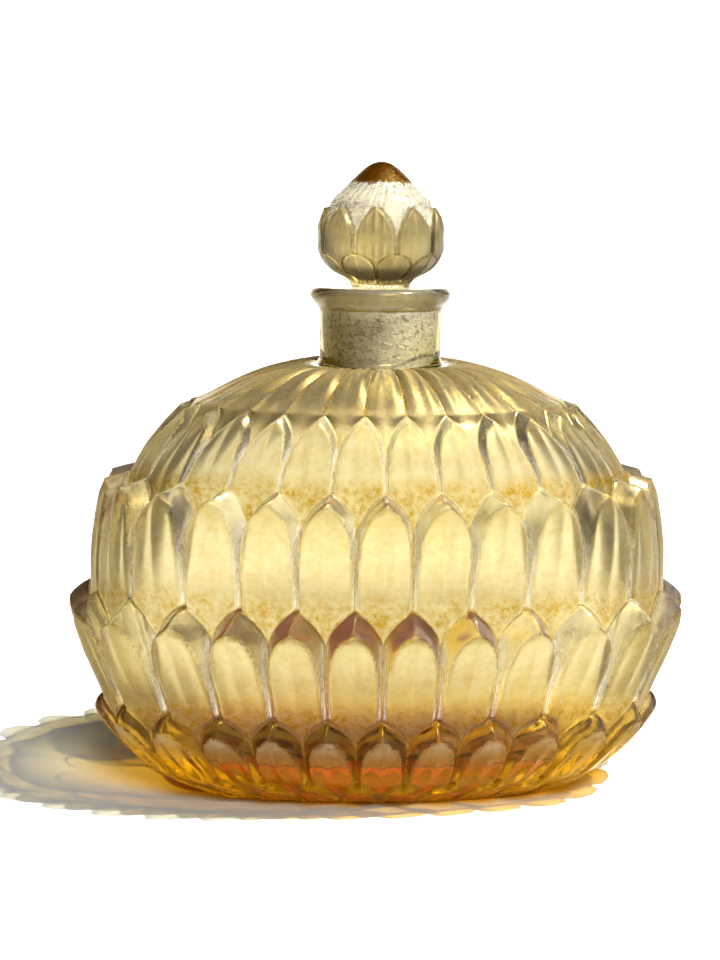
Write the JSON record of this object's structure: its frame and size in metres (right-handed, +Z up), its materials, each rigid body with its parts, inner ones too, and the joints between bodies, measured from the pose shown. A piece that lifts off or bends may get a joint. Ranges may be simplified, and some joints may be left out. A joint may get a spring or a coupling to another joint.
{
  "type": "perfume flacon",
  "caption": "Oval moulded glass perfume flacon clad in overlapping pointed petals, with a short neck and a ground glass stopper shaped as a closed bud.",
  "frame": {"origin": "centre of the flat foot, on the surface the flacon stands on", "axes": "+Z up along the neck, X along the broad side, the broad front faces -Y"},
  "size_m": [0.114, 0.0642, 0.1137],
  "materials": {
    "bottle_glass": "champagne tinted glass, satin petal faces, polished ledges and grooves, amber patina in the recesses",
    "stopper_glass": "pale tinted glass, polished point, satin petals, finely ground plug",
    "perfume_liquid": "clear orange-red liquid"
  },
  "bodies": {
    "bottle": {"bottle": "bottle_glass", "perfume": "perfume_liquid"},
    "stopper": {"stopper": "stopper_glass"}
  },
  "joints": [
    {"name": "stopper_lift", "type": "slide", "parent": "bottle", "child": "stopper", "axis": [0, 0, 1], "range_m": [0, 0.03]}
  ]
}
